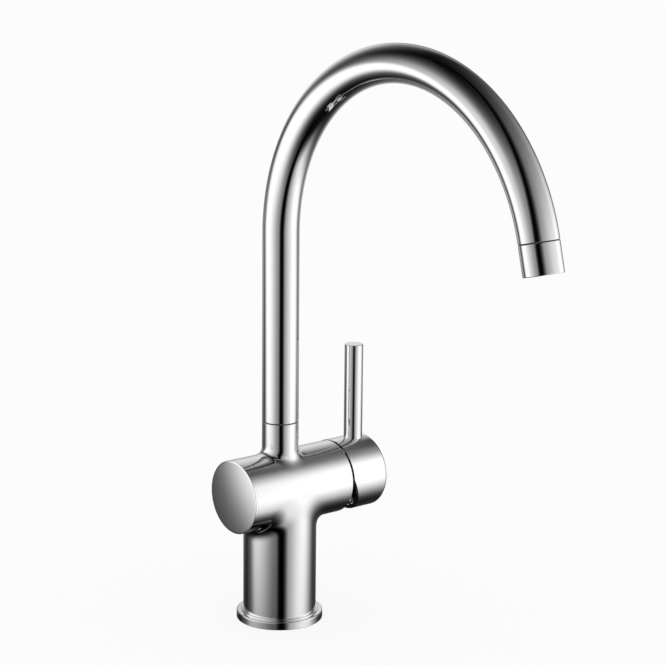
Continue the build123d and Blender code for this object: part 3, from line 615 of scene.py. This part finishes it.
def make_outlet_housing():
    start = SPOUT_LENGTH + OUTLET_SEAM
    end = start + HOUSING_LENGTH
    outline = round_corners(
        [
            (NIPPLE_BORE, start - NIPPLE_LENGTH, 0),
            (NIPPLE_RADIUS, start - NIPPLE_LENGTH, NIPPLE_ROUND),
            (NIPPLE_RADIUS, start, 0),
            (TUBE_RADIUS, start, SEAM_ROUND),
            (TUBE_RADIUS, end, MOUTH_ROUND),
            (HOUSING_BORE, end, MOUTH_INNER_ROUND),
            (HOUSING_BORE, start + HOUSING_FLOOR, 0),
            (NIPPLE_BORE, start + HOUSING_FLOOR, 0),
        ]
    )
    points, faces = revolved(outline, around_spout)
    make_piece("outlet_housing_shown", points, faces, "spout", "chrome", "aerator_housing")


def make_base_ring():
    """Flange with a raised lip; their rounded edges draw the two fine lines round the foot."""
    seal_outer = seal_high.x + RING_CLEARANCE
    socket = COLUMN_RADIUS + RING_CLEARANCE
    bore = COLUMN_RADIUS - RING_LEDGE
    outline = round_corners(
        [
            (bore, 0, 0),
            (SEAL_INNER, 0, 0),
            (SEAL_INNER, seal_high.z, 0),
            (seal_outer, seal_high.z, 0),
            (seal_outer, 0, 0),
            (ring_high.x, 0, RING_FOOT_ROUND),
            (ring_high.x, LIP_FOOT, RING_EDGE_ROUND),
            (LIP_RADIUS, LIP_FOOT, 0),
            (LIP_RADIUS, ring_high.z, LIP_ROUND),
            (socket, ring_high.z, LIP_INNER_ROUND),
            (socket, FOOT_STEP, 0),
            (bore, FOOT_STEP, 0),
        ]
    )
    points, faces = revolved(outline, around_column)
    make_piece("base_ring_shown", points, faces, "tap_body", "chrome", "base_ring")


def make_end_cap():
    """Slightly domed plate with a bevelled edge, on a grooved spigot."""
    crown_radius = (BARREL_RADIUS**2 + END_CROWN**2) / (2 * END_CROWN)
    crown = []
    for radius in np.linspace(0, BARREL_RADIUS - END_BEVEL, CROWN_POINTS):
        sag = crown_radius - math.sqrt(crown_radius**2 - radius**2)
        crown.append((radius, end_low.x + sag, 0))
    bevel_radius, bevel_place, _ = crown.pop()
    groove_start = (casting_low.x + end_high.x - END_GROOVE_WIDTH) / 2
    groove_end = groove_start + END_GROOVE_WIDTH
    outline = round_corners(
        crown
        + [
            (bevel_radius, bevel_place, END_ROUND),
            (BARREL_RADIUS, bevel_place + END_BEVEL_DROP, END_ROUND),
            (BARREL_RADIUS, casting_low.x, END_SEAM_ROUND),
            (END_SPIGOT_RADIUS, casting_low.x, 0),
            (END_SPIGOT_RADIUS, groove_start, 0),
            (END_GROOVE_RADIUS, groove_start, 0),
            (END_GROOVE_RADIUS, groove_end, 0),
            (END_SPIGOT_RADIUS, groove_end, 0),
            (END_SPIGOT_RADIUS, end_high.x, END_SPIGOT_ROUND),
            (END_RECESS_RADIUS, end_high.x, 0),
            (END_RECESS_RADIUS, casting_low.x, 0),
            (0, casting_low.x, 0),
        ]
    )
    points, faces = revolved(outline, around_barrel)
    make_piece("end_cap_shown", points, faces, "tap_body", "chrome", "end_cap")


# ---------------------------------------------------------------------------------
# Casting: column, barrel and neck flow into each other like poured metal
# ---------------------------------------------------------------------------------

SIDE_BLEND = 9.0
FRONT_BLEND = 12.0
BLEND_FULLNESS = 3.0
COLUMN_FADE = 0.4
NET_STEP = 0.8
NET_MARGIN = 2.5
HOLE_CLEARING = 3.4
SLOPE_STEP = 0.02
LEAST_REACH = 0.02
NEAR_ZERO = 1e-6
SETTLING_ROUNDS = 4
ON_FACE = 0.01
UNDER_SKIN = 0.2


def soft_union(first, second, reach, fullness):
    """Distance to two forms joined by a fillet that reaches this far up each of them."""
    a = np.maximum(reach - first, 0)
    b = np.maximum(reach - second, 0)
    fillet = (a**fullness + b**fullness) ** (1 / fullness)
    return np.maximum(reach, np.minimum(first, second)) - fillet


def from_column_axis(p):
    """Distance to the column's axis, which is the neck's too."""
    return np.hypot(p[..., 0], p[..., 1])


def from_barrel_axis(p):
    """Distance to the barrel's axis."""
    return np.hypot(p[..., 1], p[..., 2] - BARREL_HEIGHT)


def casting_parts(p):
    """Distances to the column, the barrel and the neck, each without its ends."""
    above = np.maximum(p[..., 2] - BARREL_HEIGHT, 0)
    column = from_column_axis(p) - COLUMN_RADIUS + above**2 / COLUMN_FADE
    barrel = from_barrel_axis(p) - BARREL_RADIUS
    neck = np.maximum(from_column_axis(p) - TUBE_RADIUS, BARREL_HEIGHT - p[..., 2])
    return column, barrel, neck


def casting_distance(p):
    """Distance to the casting's skin, negative inside."""
    column, barrel, neck = casting_parts(p)
    # the column and the barrel touch at the front and back, where their fillet runs out
    to_column = np.maximum(from_column_axis(p), NEAR_ZERO)
    to_barrel = np.maximum(from_barrel_axis(p), NEAR_ZERO)
    facing = np.clip(p[..., 1] ** 2 / (to_column * to_barrel), 0, 1)
    reach = SIDE_BLEND + (FRONT_BLEND - SIDE_BLEND) * facing**2
    reach = np.maximum(reach * np.sqrt(1 - facing**2), LEAST_REACH)
    joined = soft_union(column, barrel, reach, BLEND_FULLNESS)
    return soft_union(joined, neck, NECK_BLEND, NECK_FULLNESS)


def slope(distance, p):
    """Gradient of a distance."""
    parts = []
    for axis in range(3):
        shift = np.zeros(3)
        shift[axis] = SLOPE_STEP
        parts.append((distance(p + shift) - distance(p - shift)) / (2 * SLOPE_STEP))
    return np.stack(parts, -1)


def surface_net(distance, low, high, step):
    """Points and quads of the zero surface of a distance, one point for each cell it crosses."""
    counts = np.ceil((high - low) / step).astype(int) + 1
    axes = [low[n] + step * np.arange(counts[n]) for n in range(3)]
    value = distance(np.stack(np.meshgrid(*axes, indexing="ij"), -1))
    cells = counts - 1
    strides = np.array([cells[1] * cells[2], cells[2], 1])
    total = np.zeros((cells.prod(), 3))
    number = np.zeros(cells.prod())
    corners = []
    for axis in range(3):
        across = [n for n in range(3) if n != axis]
        side, other = across
        first = np.moveaxis(value, axis, 0)[:-1]
        second = np.moveaxis(value, axis, 0)[1:]
        found = np.argwhere((first < 0) != (second < 0))
        index = np.empty_like(found)
        index[:, axis] = found[:, 0]
        index[:, across] = found[:, 1:]
        before = first[tuple(found.T)]
        after = second[tuple(found.T)]
        crossing = low + step * index
        crossing[:, axis] += step * before / (before - after)
        inner = np.all((index[:, across] > 0) & (index[:, across] < cells[across]), 1)
        index = index[inner]
        crossing = crossing[inner]
        entering = before[inner] >= 0
        around = []
        for back_side, back_other in ((0, 0), (1, 0), (1, 1), (0, 1)):
            cell = index.copy()
            cell[:, side] -= back_side
            cell[:, other] -= back_other
            cell = cell @ strides
            around.append(cell)
            number += np.bincount(cell, minlength=len(number))
            for n in range(3):
                total[:, n] += np.bincount(cell, crossing[:, n], minlength=len(number))
        around = np.stack(around, -1)
        flipped = entering != (axis == 1)
        around[flipped] = around[flipped][:, ::-1]
        corners.append(around)
    used = np.flatnonzero(number)
    renumber = np.zeros(len(number), int)
    renumber[used] = np.arange(len(used))
    return total[used] / number[used][:, None], renumber[np.concatenate(corners)]


def open_screw_hole(shape):
    """Ends the skin on the edge of the stop screw's hole, in the back of the neck."""

    def offset(point):
        return Vector((point.x, point.z - SCREW_HEIGHT))

    def near(v, reach):
        return v.co.y > 0 and offset(v.co).length < reach

    cleared = [v for v in shape.verts if near(v, HOLE_CLEARING)]
    bmesh.ops.delete(shape, geom=cleared, context="VERTS")
    rim = [v for v in shape.verts if v.is_boundary and near(v, 2 * HOLE_CLEARING)]
    rim.sort(key=lambda v: math.atan2(offset(v.co).y, offset(v.co).x))
    edge = []
    for v in rim:
        to_edge = offset(v.co).normalized() * SCREW_HOLE_RADIUS
        depth = math.sqrt(TUBE_RADIUS**2 - to_edge.x**2)
        edge.append(shape.verts.new((to_edge.x, depth, SCREW_HEIGHT + to_edge.y)))
    for n in range(len(rim)):
        shape.faces.new((rim[n - 1], rim[n], edge[n], edge[n - 1]))


def casting_skin():
    """Outer skin of the casting, open at the barrel's ends, the foot and the neck's top."""
    low = np.array([casting_low.x, -BARREL_RADIUS, FOOT_STEP]) - NET_MARGIN
    high = np.array([casting_high.x, BARREL_RADIUS, NECK_TOP]) + NET_MARGIN
    points, quads = surface_net(casting_distance, low, high, NET_STEP)
    for _ in range(SETTLING_ROUNDS):
        gradient = slope(casting_distance, points)
        push = casting_distance(points) / (gradient**2).sum(-1)
        points = points - push[:, None] * gradient
    mesh = bpy.data.meshes.new("casting_skin")
    mesh.from_pydata(points.tolist(), [], quads.tolist())
    shape = bmesh.new()
    shape.from_mesh(mesh)
    bpy.data.meshes.remove(mesh)
    cuts = (
        ((casting_low.x, 0, 0), (-1, 0, 0)),
        ((casting_high.x - OPEN_END_ROUND, 0, 0), (1, 0, 0)),
        ((0, 0, FOOT_STEP), (0, 0, -1)),
        ((0, 0, NECK_TOP - SEAM_ROUND), (0, 0, 1)),
    )
    for place, outwards in cuts:
        bmesh.ops.bisect_plane(
            shape,
            geom=shape.verts[:] + shape.edges[:] + shape.faces[:],
            plane_co=place,
            plane_no=outwards,
            clear_outer=True,
        )
    open_screw_hole(shape)
    shape.verts.index_update()
    points = np.array([v.co for v in shape.verts])
    faces = [[v.index for v in f.verts] for f in shape.faces]
    shape.free()
    normals = slope(casting_distance, points)
    normals /= np.linalg.norm(normals, axis=-1)[:, None]
    return points, faces, [[normals[n] for n in face] for face in faces]


def casting_inside():
    """The frame's own bores, end faces and underside of the casting."""
    mesh = nodes["valve_body"].data
    points = np.array([v.co for v in mesh.vertices]) / MM
    corner_normals = np.array([n.vector for n in mesh.corner_normals])
    faces, normals = [], []
    for polygon in mesh.polygons:
        corners = list(polygon.vertices)
        middle = points[corners].mean(0)
        depth = min(casting_parts(middle))
        at_end = (
            middle[0] < casting_low.x + ON_FACE
            or middle[0] > casting_high.x - OPEN_END_ROUND + ON_FACE
            or middle[2] < FOOT_STEP + ON_FACE
        )
        at_top = middle[2] > NECK_TOP - ON_FACE
        if (at_end or depth < -UNDER_SKIN) and not at_top:
            faces.append(corners)
            normals.append(list(corner_normals[list(polygon.loop_indices)]))
    return points, faces, normals


def neck_rim():
    """Rounded top of the neck, between the skin and the bore."""
    outline = round_corners(
        [
            (NECK_BORE, NECK_TOP, 0),
            (TUBE_RADIUS, NECK_TOP, SEAM_ROUND),
            (TUBE_RADIUS, NECK_TOP - 2 * SEAM_ROUND, 0),
        ]
    )[:-1]
    radius, height, angle = turn_grid(outline)
    points = around_column(radius, height, angle).reshape(-1, 3)
    # the surface faces straight up on the flat, and turns outwards over the round
    upwards = np.clip((height - (NECK_TOP - SEAM_ROUND)) / SEAM_ROUND, 0, 1)
    outwards = np.sqrt(1 - upwards**2)
    normals = around_column(outwards, upwards, angle).reshape(-1, 3)
    faces = [face[::-1] for face in ring_faces(len(outline), TURN_STEPS, closed=False)]
    return points, faces, [[normals[n] for n in face] for face in faces]


def make_casting():
    points, faces, normals = [], [], []
    for part_points, part_faces, part_normals in (casting_skin(), casting_inside(), neck_rim()):
        first = sum(len(p) for p in points)
        points.append(part_points)
        faces += [[first + n for n in face] for face in part_faces]
        for face_normals in part_normals:
            normals += face_normals
    mesh = bpy.data.meshes.new("casting_shown")
    mesh.from_pydata((np.concatenate(points) * MM).tolist(), [], faces)
    mesh.shade_smooth()
    mesh.normals_split_custom_set([tuple(n) for n in normals])
    place_piece("casting_shown", mesh, "tap_body", "chrome", "valve_body")


# ---------------------------------------------------------------------------------
# Build the scene
# ---------------------------------------------------------------------------------

materials = make_materials()
dress_nodes()
make_casting()
make_spout_tube()
make_outlet_housing()
make_base_ring()
make_end_cap()
make_camera()
make_world()
make_floor()
make_tent()

scene.view_settings.view_transform = "Standard"
